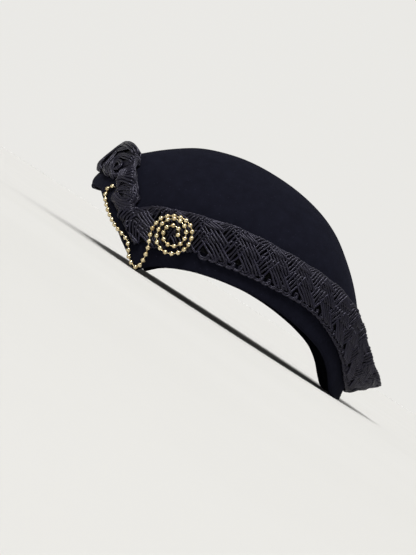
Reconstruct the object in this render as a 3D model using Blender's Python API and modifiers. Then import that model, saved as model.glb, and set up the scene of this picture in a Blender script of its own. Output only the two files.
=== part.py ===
"""Capulet: a small blocked felt hat, trimmed with cord braid and two ball chains.

Metres, +Z up. The hat rests on its rim at z = 0: on the points at the temples and on the
tab at the nape. Its front faces -Y and the wearer's left side is +X. Both sides are alike.

An azimuth runs round the crown in degrees, from 0 at the centre front over 90 at the side
to 180 at the centre back. Tables are in millimetres and degrees.
"""

import bmesh
import bpy
import numpy as np

MM = 0.001

# Felt: a wall of one thickness, with a turned edge that is a little thicker
FELT_WALL = 2.2
EDGE_RADIUS = 1.5
CROWN_HEIGHT = 99.5
PLAN_SQUARENESS = 2.2
TEMPLE_AZIMUTH = 60.0

# Level slices of the crown's outside: where each one reaches, and where it is widest
SLICE_COLUMNS = ("height", "front", "back", "half_width", "widest_at")
CROWN_SLICES = np.array((
    (0.0, -112.0, 98.5, 77.5, 4.0),
    (12.0, -113.0, 96.5, 78.5, 4.0),
    (25.0, -113.5, 93.0, 79.0, 3.5),
    (40.0, -111.0, 86.5, 78.0, 3.0),
    (55.0, -103.5, 77.0, 74.0, 2.0),
    (68.0, -91.0, 65.3, 66.5, 0.5),
    (79.0, -78.0, 52.5, 56.0, -1.5),
    (88.0, -64.5, 39.5, 43.0, -4.5),
    (94.0, -49.5, 25.8, 30.0, -8.0),
    (98.0, -33.0, 8.5, 16.5, -10.5),
    (99.5, -12.0, -12.0, 0.0, -12.0),
))

# The rim's lowest line. Felt that would reach below z = 0 is pressed flat on the surface
RIM_COLUMNS = ("azimuth", "height")
FRONT_RIM = np.array((
    (0.0, 28.5), (10.0, 29.3), (20.0, 30.6), (27.0, 29.8), (33.0, 26.2), (40.0, 21.0),
    (46.0, 16.2), (50.0, 11.4), (55.0, 6.0), (60.0, -0.6),
))
SIDE_RIM = np.array((
    (60.0, -0.6), (64.0, 6.7), (72.0, 15.2), (81.0, 21.0), (91.0, 25.0), (104.0, 26.3),
    (115.0, 25.3), (126.0, 22.6), (135.0, 18.4), (142.0, 11.8), (148.0, 4.2), (153.0, 0.2),
    (157.0, -0.6), (180.0, -0.6),
))

# Braid: its gap to the felt, and its thickness at the edges and along the middle
BRAID_GAP = 0.4
BRAID_EDGE = 1.7
BRAID_BODY = 3.3
RELIEF_DEPTH = 0.35
RELIEF_PERIOD = 21.0

# Side braid, from the temple round to the nape: its two edges on the crown, and how far
# the top edge flares away from the felt
BAND_COLUMNS = ("low_azimuth", "low_height", "top_azimuth", "top_height", "flare")
SIDE_BAND = np.array((
    (57.5, 11.5, 42.0, 25.5, 0.0),
    (60.0, 13.5, 49.5, 31.6, 0.0),
    (63.5, 15.5, 54.6, 38.0, 0.0),
    (67.0, 18.5, 60.0, 42.6, 0.0),
    (71.0, 22.3, 65.5, 46.5, 0.0),
    (76.0, 26.8, 71.5, 50.0, 0.0),
    (82.0, 30.0, 78.0, 53.5, 0.0),
    (89.0, 32.8, 86.0, 56.0, 0.0),
    (97.0, 34.5, 95.0, 57.3, 0.0),
    (106.0, 35.8, 104.5, 58.0, 0.2),
    (115.0, 36.6, 114.0, 58.2, 0.6),
    (122.5, 35.6, 122.5, 57.7, 1.8),
    (129.0, 33.0, 130.5, 55.8, 4.0),
    (135.0, 29.6, 137.0, 52.5, 6.0),
    (141.0, 25.6, 143.0, 48.9, 6.9),
    (146.5, 20.6, 149.0, 44.3, 7.0),
    (152.0, 15.0, 155.5, 36.8, 8.4),
    (159.0, 10.8, 162.5, 28.0, 12.4),
    (169.0, 8.8, 171.0, 22.3, 17.4),
    (180.0, 8.3, 180.0, 19.0, 20.6),
))

# Front braid, from the centre front to the temple: its two edges, and how far it stands
# out near the low edge, along the middle and at the puffed roll near the top edge
FRONT_COLUMNS = ("low_azimuth", "low_height", "top_azimuth", "top_height", "low", "mid", "roll")
FRONT_BAND = np.array((
    (0.0, 39.2, 0.0, 62.6, 3.2, 5.0, 7.0),
    (6.0, 39.0, 5.4, 62.6, 3.4, 5.4, 7.8),
    (12.5, 38.7, 11.0, 62.2, 3.6, 5.8, 8.2),
    (19.0, 38.5, 17.0, 61.6, 3.6, 5.8, 8.2),
    (25.0, 38.5, 22.5, 60.8, 3.6, 5.8, 8.2),
    (30.0, 38.8, 28.0, 59.6, 3.4, 5.2, 7.2),
    (33.8, 38.6, 33.2, 57.0, 3.2, 4.8, 6.2),
    (36.6, 36.6, 37.6, 51.8, 3.2, 4.6, 5.2),
    (37.4, 33.0, 41.8, 46.8, 3.0, 4.2, 4.6),
    (38.2, 29.9, 46.0, 42.0, 2.8, 3.8, 4.0),
    (39.6, 27.6, 49.4, 37.6, 2.6, 3.4, 3.4),
    (41.3, 27.2, 49.3, 33.8, 2.4, 3.2, 3.0),
))

# Ball chain: its count of balls, a ball's size, and how far it lies off what carries it
BALLS = 58
BALL_RADIUS = 1.5
LINK_RADIUS = 0.45
CHAIN_GAP = 0.3
CHAIN_SIDES = 10
BRAID_LIFT = BRAID_GAP + BRAID_BODY + RELIEF_DEPTH

# The chain's course seen from the side, from under the front braid to the temple point
# and up to the coil, and the share of the braid's height that it has climbed
CHAIN_COLUMNS = ("along", "height", "climb")
CHAIN_COURSE = np.array((
    (-93.8, 35.9, 0.0),
    (-96.2, 35.0, 0.0),
    (-97.0, 32.4, 0.0),
    (-96.3, 29.4, 0.0),
    (-94.2, 26.2, 0.0),
    (-87.6, 20.6, 0.0),
    (-79.8, 16.2, 0.0),
    (-74.3, 14.6, 0.0),
    (-70.6, 13.6, 0.0),
    (-67.4, 11.8, 0.0),
    (-65.0, 9.0, 0.0),
    (-63.0, 6.0, 0.0),
    (-60.0, 3.4, 0.0),
    (-56.6, 2.0, 0.0),
    (-54.2, 2.6, 0.05),
    (-53.4, 6.4, 0.6),
    (-54.0, 12.0, 1.0),
    (-55.4, 17.0, 1.0),
    (-58.0, 22.6, 1.0),
    (-59.4, 28.0, 1.0),
))
COIL_CENTRE = (-46.5, 30.2)
COIL_COLUMNS = ("angle", "radius")
COIL_RADII = np.array((
    (160.0, 12.4), (120.0, 11.3), (60.0, 11.6), (0.0, 10.9), (-100.0, 11.0), (-165.0, 9.3),
    (-240.0, 9.7), (-300.0, 8.3), (-350.0, 7.2), (-420.0, 6.6), (-500.0, 6.0),
    (-580.0, 5.8), (-655.0, 4.4), (-720.0, 1.4),
))

# Colours in linear light, and roughness
FELT_LOOK = ((0.011, 0.011, 0.020, 1.0), 0.95)
BRAID_LOOK = ((0.016, 0.016, 0.026, 1.0), 0.55)
BRASS_LOOK = ((0.72, 0.55, 0.32, 1.0), 0.28)


def through_rows(places, values, at):
    """Smooth curve through table rows: cubic pieces whose slopes come from the neighbours."""
    slopes = np.gradient(values, places, axis=0)
    low = np.clip(np.searchsorted(places, at, side="right") - 1, 0, len(places) - 2)
    span = places[low + 1] - places[low]
    t = np.clip((at - places[low]) / span, 0.0, 1.0)
    if values.ndim > 1:
        span = span[..., None]
        t = t[..., None]
    return ((2 * t**3 - 3 * t**2 + 1) * values[low] + (t**3 - 2 * t**2 + t) * span * slopes[low]
            + (3 * t**2 - 2 * t**3) * values[low + 1] + (t**3 - t**2) * span * slopes[low + 1])


def column(table, names, name):
    """One named column of a table."""
    return table[:, names.index(name)]


def elevation_of(height):
    """Elevation angle, in degrees, that stands for a height on the crown: 90 at the top."""
    return np.degrees(np.arcsin(np.clip(height / CROWN_HEIGHT, -1.0, 1.0)))


def slice_at(elevation):
    """Front, back, half width and widest place of the crown's slice at an elevation."""
    rows = elevation_of(column(CROWN_SLICES, SLICE_COLUMNS, "height"))
    return [through_rows(rows, column(CROWN_SLICES, SLICE_COLUMNS, name), elevation)
            for name in SLICE_COLUMNS[1:]]


def crown_point(azimuth, elevation):
    """Point on the crown's outside: each level slice is a superellipse with unlike halves."""
    azimuth, elevation = np.broadcast_arrays(np.asarray(azimuth, float), elevation)
    front, back, half_width, widest = slice_at(elevation)
    across = np.sin(np.radians(azimuth))
    ahead = np.cos(np.radians(azimuth))
    reach = (np.abs(across)**PLAN_SQUARENESS + np.abs(ahead)**PLAN_SQUARENESS)**(-1 / PLAN_SQUARENESS)
    half_length = np.where(ahead >= 0, widest - front, back - widest)
    return np.stack((half_width * reach * across, widest - half_length * reach * ahead,
                     CROWN_HEIGHT * np.sin(np.radians(elevation))), axis=-1)


def unit(vectors):
    """Vectors brought to length one."""
    return vectors / np.linalg.norm(vectors, axis=-1, keepdims=True)


def crown_normal(azimuth, elevation):
    """Outward normal of the crown, from small steps round it and up it."""
    step = 0.05
    around = crown_point(azimuth + step, elevation) - crown_point(azimuth - step, elevation)
    upward = crown_point(azimuth, elevation + step) - crown_point(azimuth, elevation - step)
    return unit(np.cross(around, upward))


def rim_height(azimuth):
    """Height of the rim's lowest line, with a corner at the temple point."""
    front = through_rows(FRONT_RIM[:, 0], FRONT_RIM[:, 1], azimuth)
    side = through_rows(SIDE_RIM[:, 0], SIDE_RIM[:, 1], azimuth)
    return np.where(azimuth < TEMPLE_AZIMUTH, front, side)


def azimuth_at(along, height):
    """Azimuth of the crown's point at a place along the hat and a height."""
    front, back, _, widest = slice_at(elevation_of(height))
    half_length = np.where(along < widest, widest - front, back - widest)
    ahead = np.clip((widest - along) / half_length, -1.0, 1.0)
    across = (1 - np.abs(ahead)**PLAN_SQUARENESS)**(1 / PLAN_SQUARENESS)
    return np.degrees(np.arctan2(across, ahead))


def over_crown(along, height, lift):
    """Point that shows from the side at this place and height, and lies a lift off the felt."""
    foot_along, foot_height = along, height
    for _ in range(6):
        azimuth = azimuth_at(foot_along, foot_height)
        elevation = elevation_of(foot_height)
        point = crown_point(azimuth, elevation) + lift[:, None] * crown_normal(azimuth, elevation)
        foot_along = foot_along + along - point[:, 1]
        foot_height = foot_height + height - point[:, 2]
    return point


def grid_faces(rows, columns, closed_columns):
    """Quads of a grid of vertices, joined round where its columns close on themselves."""
    last = columns if closed_columns else columns - 1
    return [(r * columns + c, r * columns + (c + 1) % columns,
             (r + 1) * columns + (c + 1) % columns, (r + 1) * columns + c)
            for r in range(rows - 1) for c in range(last)]


def new_object(name, points, faces, material, collection):
    """Mesh object from points in millimetres: doubles merged and normals turned outward."""
    mesh = bpy.data.meshes.new(name)
    mesh.from_pydata((points.reshape(-1, 3) * MM).tolist(), [], faces)
    shape = bmesh.new()
    shape.from_mesh(mesh)
    bmesh.ops.remove_doubles(shape, verts=shape.verts, dist=0.00001)
    bmesh.ops.recalc_face_normals(shape, faces=shape.faces)
    shape.to_mesh(mesh)
    shape.free()
    mesh.shade_smooth()
    mesh.materials.append(material)
    thing = bpy.data.objects.new(name, mesh)
    collection.objects.link(thing)
    return thing


def mirror_to_right(thing):
    """Mirror modifier for a left half that is open at the middle plane."""
    mirror = thing.modifiers.new("both_sides", "MIRROR")
    mirror.use_axis = (True, False, False)
    mirror.use_clip = True
    mirror.merge_threshold = 0.00005


def new_material(name, look, metallic=0.0):
    """Principled material from a colour and a roughness."""
    material = bpy.data.materials.new(name)
    material.use_nodes = True
    shader = material.node_tree.nodes["Principled BSDF"]
    colour, roughness = look
    shader.inputs["Base Color"].default_value = colour
    shader.inputs["Roughness"].default_value = roughness
    shader.inputs["Metallic"].default_value = metallic
    return material


def build_felt_crown(material, collection):
    """Felt shell: a profile up the outside, round the turned edge and up the inside."""
    outer_rows, edge_rows, inner_rows = 11, 3, 8
    fine = (57.0, 63.0, 147.0, 153.0)
    azimuths = np.union1d(np.linspace(0.0, 180.0, 31), fine)
    edge_height = rim_height(azimuths) + EDGE_RADIUS
    rows = []

    for share in np.linspace(0.0, 1.0, outer_rows):
        elevation = 90.0 + share * (elevation_of(edge_height) - 90.0)
        rows.append(crown_point(azimuths, elevation))

    elevation = elevation_of(edge_height)
    outward = crown_normal(azimuths, elevation)
    around = crown_point(azimuths + 0.05, elevation) - crown_point(azimuths - 0.05, elevation)
    downward = unit(np.cross(outward, around))
    downward *= np.where(downward[:, 2:] > 0, -1.0, 1.0)
    centre = crown_point(azimuths, elevation) - EDGE_RADIUS * outward
    for turn in np.radians(np.linspace(0.0, 180.0, edge_rows + 2)[1:-1]):
        rows.append(centre + EDGE_RADIUS * (np.cos(turn) * outward + np.sin(turn) * downward))

    inner_start = elevation_of(edge_height + EDGE_RADIUS)
    for share in np.linspace(0.0, 1.0, inner_rows):
        elevation = np.minimum(inner_start + share * (90.0 - inner_start), 89.9)
        rows.append(crown_point(azimuths, elevation) - FELT_WALL * crown_normal(azimuths, elevation))

    points = np.array(rows)
    points[:, 0, 0] = 0.0
    points[:, -1, 0] = 0.0
    points[0] = (0.0, points[0, 0, 1], CROWN_HEIGHT)
    points[-1] = (0.0, points[0, 0, 1], CROWN_HEIGHT - FELT_WALL)
    points[:, :, 2] = np.maximum(points[:, :, 2], 0.0)
    faces = grid_faces(len(rows), len(azimuths), False)
    crown = new_object("felt_crown", points, faces, material, collection)
    mirror_to_right(crown)


def band_surface(edges, across):
    """Points and normals of a band laid between two edges on the crown.

    The azimuth and height run evenly from the low edge to the top edge, and the flare
    lifts each point along the crown's normal in proportion to its place across.
    """
    low_azimuth, low_height, top_azimuth, top_height, flare = (edges[:, k, None] for k in range(5))
    azimuth = low_azimuth + (top_azimuth - low_azimuth) * across
    elevation = elevation_of(low_height + (top_height - low_height) * across)
    points = crown_point(azimuth, elevation)
    return points + (flare * across)[..., None] * crown_normal(azimuth, elevation)


def section_normals(points):
    """Normals of a grid of points whose rows run along a band and columns across it."""
    along = np.gradient(points, axis=0)
    along[-1, :, 1:] = np.where(np.abs(points[-1, :, :1]) < 0.001, 0.0, along[-1, :, 1:])
    over = np.gradient(points, axis=1)
    return unit(np.cross(along, over))


def wrap_band(points, normals, heights, under_columns):
    """Closed section round a band: the top at its heights, the underside at the felt gap."""
    top = points + heights[..., None] * normals
    under = (points + BRAID_GAP * normals)[:, under_columns]
    return np.concatenate((top, under[:, ::-1]), axis=1)


def add_end_cap(faces, first, count):
    """Cap one end section with a single face."""
    return faces + [tuple(range(first, first + count))]


def build_side_braid(material, collection):
    """Side braid: temple to nape on the left, mirrored, with a quilted relief."""
    stations = 34
    across = np.array((0.0, 0.14, 0.38, 0.62, 0.86, 1.0))
    rows = np.arange(len(SIDE_BAND), dtype=float)
    edges = through_rows(rows, SIDE_BAND, np.linspace(0.0, len(SIDE_BAND) - 1.0, stations))
    points = band_surface(edges, across)
    points[-1, :, 0] = 0.0
    normals = section_normals(points)
    normals[-1, :, 0] = 0.0
    middle = points.mean(axis=1)
    run = np.concatenate(([0.0], np.cumsum(np.linalg.norm(np.diff(middle, axis=0), axis=1))))
    wave = np.cos(2 * np.pi * run / RELIEF_PERIOD)[:, None]
    side = np.array((0.0, 0.0, -1.0, 1.0, 0.0, 0.0))
    base = BRAID_GAP + np.array((BRAID_EDGE, BRAID_BODY, BRAID_BODY, BRAID_BODY, BRAID_BODY, BRAID_EDGE))
    heights = base + RELIEF_DEPTH * wave * side
    ring = wrap_band(points, normals, heights, [0, 2, 3, 5])
    faces = grid_faces(stations, ring.shape[1], True)
    faces = add_end_cap(faces, 0, ring.shape[1])
    braid = new_object("side_braid", ring, faces, material, collection)
    mirror_to_right(braid)


def build_front_braid(material, collection):
    """Front braid: centre front to temple on the left, mirrored, with a puffed roll."""
    stations = 19
    across = np.array((0.0, 0.10, 0.30, 0.52, 0.72, 0.86, 0.96, 1.0))
    rows = np.arange(len(FRONT_BAND), dtype=float)
    table = through_rows(rows, FRONT_BAND, np.linspace(0.0, len(FRONT_BAND) - 1.0, stations))
    edges = np.concatenate((table[:, :4], np.zeros((stations, 1))), axis=1)
    points = band_surface(edges, across)
    points[0, :, 0] = 0.0
    low, mid, roll = (table[:, k, None] for k in (4, 5, 6))
    heights = np.concatenate((0.5 * low, low, 0.5 * (low + mid), mid, 0.35 * mid + 0.65 * roll,
                              roll, 0.72 * roll, 0.25 * roll), axis=1) + BRAID_GAP
    azimuth = edges[:, 0, None] + (edges[:, 2] - edges[:, 0])[:, None] * across
    height = edges[:, 1, None] + (edges[:, 3] - edges[:, 1])[:, None] * across
    normals = crown_normal(azimuth, elevation_of(height))
    normals[0, :, 0] = 0.0
    ring = wrap_band(points, normals, heights, [0, 2, 4, 7])
    faces = grid_faces(stations, ring.shape[1], True)
    faces = add_end_cap(faces, (stations - 1) * ring.shape[1], ring.shape[1])
    braid = new_object("front_braid", ring, faces, material, collection)
    mirror_to_right(braid)


def chain_path():
    """Course of the left chain's centres, a point at each fifth of a millimetre."""
    rows = np.arange(len(CHAIN_COURSE), dtype=float)
    course = through_rows(rows, CHAIN_COURSE, np.linspace(0.0, len(rows) - 1.0, 400))
    angles = np.linspace(COIL_RADII[0, 0], COIL_RADII[-1, 0], 900)
    radii = through_rows(-COIL_RADII[:, 0], COIL_RADII[:, 1], -angles)
    coil = np.stack((COIL_CENTRE[0] + radii * np.cos(np.radians(angles)),
                     COIL_CENTRE[1] + radii * np.sin(np.radians(angles)),
                     np.ones_like(angles)), axis=1)
    course = np.concatenate((course, coil))
    lift = BALL_RADIUS + CHAIN_GAP + course[:, 2] * BRAID_LIFT
    points = over_crown(course[:, 0], course[:, 1], lift)
    run = np.concatenate(([0.0], np.cumsum(np.linalg.norm(np.diff(points, axis=0), axis=1))))
    even = np.arange(0.0, run[-1], 0.2)
    return np.stack([np.interp(even, run, points[:, k]) for k in range(3)], axis=1), even


def build_ball_chain(name, side, material, collection):
    """Ball chain: one tube along the course that swells to a ball at every pitch."""
    path, run = chain_path()
    pitch = run[-1] / BALLS
    offsets = np.array((0.0, 0.3, 0.7))
    radii = np.array((LINK_RADIUS, BALL_RADIUS, BALL_RADIUS))
    places = pitch * np.append((np.arange(BALLS)[:, None] + offsets).ravel(), BALLS - 0.1)
    radius = np.append(np.tile(radii, BALLS), LINK_RADIUS)
    centres = np.stack([np.interp(places, run, path[:, k]) for k in range(3)], axis=1)
    heading = unit(np.stack([np.gradient(np.interp(places, run, path[:, k])) for k in range(3)], axis=1))
    sideways = unit(np.cross(heading, (1.0, 0.0, 0.0)))
    upward = np.cross(heading, sideways)
    turns = np.linspace(0.0, 2 * np.pi, CHAIN_SIDES, endpoint=False)
    circle = np.cos(turns)[:, None] * sideways[:, None] + np.sin(turns)[:, None] * upward[:, None]
    ring = centres[:, None] + radius[:, None, None] * circle
    ring[..., 0] *= side
    faces = grid_faces(len(places), CHAIN_SIDES, True)
    faces = add_end_cap(faces, 0, CHAIN_SIDES)
    faces = add_end_cap(faces, (len(places) - 1) * CHAIN_SIDES, CHAIN_SIDES)
    new_object(name, ring, faces, material, collection)


def main():
    """Build every piece of the hat."""
    for thing in list(bpy.data.objects):
        bpy.data.objects.remove(thing, do_unlink=True)
    collection = bpy.data.collections.new("capulet")
    bpy.context.scene.collection.children.link(collection)
    felt = new_material("wool_felt", FELT_LOOK)
    braid = new_material("cord_braid", BRAID_LOOK)
    brass = new_material("pale_brass", BRASS_LOOK, metallic=1.0)
    build_felt_crown(felt, collection)
    build_front_braid(braid, collection)
    build_side_braid(braid, collection)
    build_ball_chain("ball_chain_left", 1.0, brass, collection)
    build_ball_chain("ball_chain_right", -1.0, brass, collection)


main()
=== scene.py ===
"""Looks of a capulet: a small blocked felt hat with cord braid and a ball chain at each temple.

Lengths are millimetres and angles are degrees, in the frame of the CAD part: +Z up, the front
of the hat faces -Y and the wearer's left side is +X. An azimuth runs round the crown from 0 at
the centre front over 90 at the left side to 180 at the nape and on to 360.
"""

import logging
from dataclasses import dataclass, field
from enum import Enum

import bmesh
import bpy
import numpy as np
from mathutils import Matrix


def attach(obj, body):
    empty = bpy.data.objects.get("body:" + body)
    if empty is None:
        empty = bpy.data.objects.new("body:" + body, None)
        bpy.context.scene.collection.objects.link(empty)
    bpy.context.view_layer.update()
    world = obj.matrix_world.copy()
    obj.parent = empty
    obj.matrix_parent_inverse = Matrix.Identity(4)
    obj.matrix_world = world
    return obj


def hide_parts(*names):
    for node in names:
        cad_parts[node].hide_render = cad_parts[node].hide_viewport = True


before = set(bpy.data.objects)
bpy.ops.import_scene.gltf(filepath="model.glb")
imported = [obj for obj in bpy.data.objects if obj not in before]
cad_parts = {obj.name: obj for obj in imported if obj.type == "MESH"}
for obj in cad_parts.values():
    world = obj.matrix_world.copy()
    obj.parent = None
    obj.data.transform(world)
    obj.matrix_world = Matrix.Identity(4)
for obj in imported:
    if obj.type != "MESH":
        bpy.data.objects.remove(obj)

logging.basicConfig(level=logging.INFO, format="%(message)s")
LOG = logging.getLogger("capulet")

MM = 0.001
FULL_TURN = 2.0 * np.pi


class Slot(Enum):
    """Material slots of the record that the pieces take their finish from."""

    FELT = "wool_felt"
    BRAID = "cord_braid"
    CHAIN = "pale_brass"


class Side(Enum):
    """Sides of the wearer, as the sign of X."""

    LEFT = 1.0
    RIGHT = -1.0


def linear(colour: str) -> tuple[float, float, float, float]:
    """Turn an sRGB hex colour into linear light.

    Args:
        colour: Six hex digits after a hash.

    Returns:
        Red, green, blue and alpha, from 0 to 1.
    """
    shares = np.array([int(colour[k:k + 2], 16) for k in (1, 3, 5)]) / 255.0
    light = np.where(shares <= 0.04045, shares / 12.92, ((shares + 0.055) / 1.055) ** 2.4)
    return (*light.tolist(), 1.0)


def unit(vectors: np.ndarray) -> np.ndarray:
    """Return the vectors brought to length one."""
    return vectors / np.maximum(np.linalg.norm(vectors, axis=-1, keepdims=True), 1e-9)


def run_along(points: np.ndarray) -> np.ndarray:
    """Measure how far along a path each point is.

    Args:
        points: Path of n points.

    Returns:
        Running length at each point: the sum of the straight steps before it.
    """
    steps = np.linalg.norm(np.diff(points, axis=0), axis=1)
    return np.concatenate(([0.0], np.cumsum(steps)))


def stepped(points: np.ndarray, step: float) -> np.ndarray:
    """Place points an even step apart along the straight runs of a path.

    Args:
        points: Path of n points.
        step: Distance from one new point to the next.

    Returns:
        The new path.
    """
    run = run_along(points)
    even = np.linspace(0.0, run[-1], max(int(run[-1] / step), 2) + 1)
    return np.stack([np.interp(even, run, points[:, k]) for k in range(points.shape[1])], axis=1)


def rounded(points: np.ndarray, reach: float) -> np.ndarray:
    """Round a path's corners: each point becomes the bell-weighted mean of its neighbours.

    Args:
        points: Path with evenly spaced points.
        reach: Width of the bell, in points.

    Returns:
        The smooth path, as many points as before.
    """
    half = int(3 * reach) + 1
    bell = np.exp(-0.5 * (np.arange(-half, half + 1) / reach) ** 2)
    bell /= bell.sum()
    padded = np.pad(points, ((half, half), (0, 0)), mode="edge")
    return np.stack([np.convolve(padded[:, k], bell, "valid") for k in range(points.shape[1])], axis=1)


def through_rows(places: np.ndarray, values: np.ndarray, at: np.ndarray) -> np.ndarray:
    """Draw a smooth curve through table rows: cubic pieces with slopes from the neighbours.

    Args:
        places: Rising places of the rows.
        values: Value or values of each row.
        at: Places where the curve is wanted.

    Returns:
        The curve's values there.
    """
    slopes = np.gradient(values, places, axis=0)
    low = np.clip(np.searchsorted(places, at, side="right") - 1, 0, len(places) - 2)
    span = places[low + 1] - places[low]
    t = np.clip((at - places[low]) / span, 0.0, 1.0)
    if values.ndim > 1:
        span = span[..., None]
        t = t[..., None]
    return ((2 * t**3 - 3 * t**2 + 1) * values[low] + (t**3 - 2 * t**2 + t) * span * slopes[low]
            + (3 * t**2 - 2 * t**3) * values[low + 1] + (t**3 - t**2) * span * slopes[low + 1])


def ease(share: np.ndarray) -> np.ndarray:
    """Return a share from 0 to 1 with a soft start and a soft end: 3s^2 - 2s^3."""
    share = np.clip(share, 0.0, 1.0)
    return share * share * (3.0 - 2.0 * share)


def from_ends(run: np.ndarray, reach: float) -> np.ndarray:
    """Return the share from 0 at both ends of a cord to 1 from a reach further in."""
    return ease(np.minimum(run, run[-1] - run) / reach)


def wander(rng: np.random.Generator, run: np.ndarray, columns: int, size: float) -> np.ndarray:
    """Make the small unevenness of hand work: a sum of slow waves with chance phases.

    Args:
        rng: Seeded source of chance.
        run: Running length of each point, in millimetres.
        columns: How many values each point gets.
        size: Rough size of the unevenness.

    Returns:
        Offsets, one row for each point.
    """
    waves = np.array((41.0, 23.0, 11.0))
    phase = rng.uniform(0.0, FULL_TURN, (len(waves), columns))
    angle = FULL_TURN * run[:, None, None] / waves[:, None] + phase
    return size * np.sin(angle).mean(axis=1) * 1.6


@dataclass(frozen=True)
class CrownForm:
    """Outside of the blocked crown: level slices, each a superellipse with unlike halves.

    Each slice row holds height, front, back, half width and the place where it is widest.
    """

    height: float = 99.5
    squareness: float = 2.2
    temple_azimuth: float = 60.0
    slices: tuple = (
        (0.0, -112.0, 98.5, 77.5, 4.0), (12.0, -113.0, 96.5, 78.5, 4.0),
        (25.0, -113.5, 93.0, 79.0, 3.5), (40.0, -111.0, 86.5, 78.0, 3.0),
        (55.0, -103.5, 77.0, 74.0, 2.0), (68.0, -91.0, 65.3, 66.5, 0.5),
        (79.0, -78.0, 52.5, 56.0, -1.5), (88.0, -64.5, 39.5, 43.0, -4.5),
        (94.0, -49.5, 25.8, 30.0, -8.0), (98.0, -33.0, 8.5, 16.5, -10.5),
        (99.5, -12.0, -12.0, 0.0, -12.0),
    )
    front_rim: tuple = (
        (0.0, 28.5), (10.0, 29.3), (20.0, 30.6), (27.0, 29.8), (33.0, 26.2), (40.0, 21.0),
        (46.0, 16.2), (50.0, 11.4), (55.0, 6.0), (60.0, -0.6),
    )
    side_rim: tuple = (
        (60.0, -0.6), (64.0, 6.7), (72.0, 15.2), (81.0, 21.0), (91.0, 25.0), (104.0, 26.3),
        (115.0, 25.3), (126.0, 22.6), (135.0, 18.4), (142.0, 11.8), (148.0, 4.2), (153.0, 0.2),
        (157.0, -0.6), (180.0, -0.6),
    )

    def elevation_of(self, height: np.ndarray) -> np.ndarray:
        """Return the elevation angle that stands for a height: 90 at the top."""
        return np.degrees(np.arcsin(np.clip(height / self.height, -1.0, 1.0)))

    def slice_at(self, elevation: np.ndarray) -> list[np.ndarray]:
        """Return front, back, half width and widest place of the slice at an elevation."""
        table = np.array(self.slices)
        rows = self.elevation_of(table[:, 0])
        return [through_rows(rows, table[:, k], elevation) for k in range(1, 5)]

    def point(self, azimuth: np.ndarray, elevation: np.ndarray) -> np.ndarray:
        """Find points of the crown's outside.

        Args:
            azimuth: Angles round the crown.
            elevation: Angles up the crown.

        Returns:
            Points of the superellipse of each point's own level.
        """
        azimuth, elevation = np.broadcast_arrays(np.asarray(azimuth, float), elevation)
        front, back, half_width, widest = self.slice_at(elevation)
        across = np.sin(np.radians(azimuth))
        ahead = np.cos(np.radians(azimuth))
        power = self.squareness
        reach = (np.abs(across)**power + np.abs(ahead)**power) ** (-1.0 / power)
        half_length = np.where(ahead >= 0.0, widest - front, back - widest)
        return np.stack((half_width * reach * across, widest - half_length * reach * ahead,
                         self.height * np.sin(np.radians(elevation))), axis=-1)

    def normal(self, azimuth: np.ndarray, elevation: np.ndarray) -> np.ndarray:
        """Find outward normals, from small steps round the crown and up it.

        Args:
            azimuth: Angles round the crown.
            elevation: Angles up the crown.

        Returns:
            Vectors of length one.
        """
        step = 0.05
        around = self.point(azimuth + step, elevation) - self.point(azimuth - step, elevation)
        upward = self.point(azimuth, elevation + step) - self.point(azimuth, elevation - step)
        return unit(np.cross(around, upward))

    def rim_height(self, azimuth: np.ndarray) -> np.ndarray:
        """Find the height of the rim's lowest line, which has a corner at each temple point.

        Args:
            azimuth: Angles round the crown, up to 360.

        Returns:
            Heights; both sides are alike.
        """
        folded = 180.0 - np.abs(azimuth - 180.0)
        front, side = np.array(self.front_rim), np.array(self.side_rim)
        return np.where(folded < self.temple_azimuth, through_rows(front[:, 0], front[:, 1], folded),
                        through_rows(side[:, 0], side[:, 1], folded))

    def azimuth_at(self, along: np.ndarray, height: np.ndarray) -> np.ndarray:
        """Return the azimuth of the left side's point at a place along the hat and a height."""
        front, back, _, widest = self.slice_at(self.elevation_of(height))
        half_length = np.where(along < widest, widest - front, back - widest)
        ahead = np.clip((widest - along) / half_length, -1.0, 1.0)
        across = (1.0 - np.abs(ahead)**self.squareness) ** (1.0 / self.squareness)
        return np.degrees(np.arctan2(across, ahead))

    def over(self, along: np.ndarray, height: np.ndarray, lift: np.ndarray) -> np.ndarray:
        """Find points that lie off the felt and show from the side at given places.

        The foot on the felt is moved, a few times over, by what the point misses its place.

        Args:
            along: Places along the hat.
            height: Heights.
            lift: Distances off the felt.

        Returns:
            Points of the left side.
        """
        foot_along, foot_height = along, height
        point = np.zeros((len(along), 3))
        for _ in range(6):
            azimuth = self.azimuth_at(foot_along, foot_height)
            elevation = self.elevation_of(foot_height)
            point = self.point(azimuth, elevation) + lift[:, None] * self.normal(azimuth, elevation)
            foot_along = foot_along + along - point[:, 1]
            foot_height = foot_height + height - point[:, 2]
        return point


CROWN = CrownForm()


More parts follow.
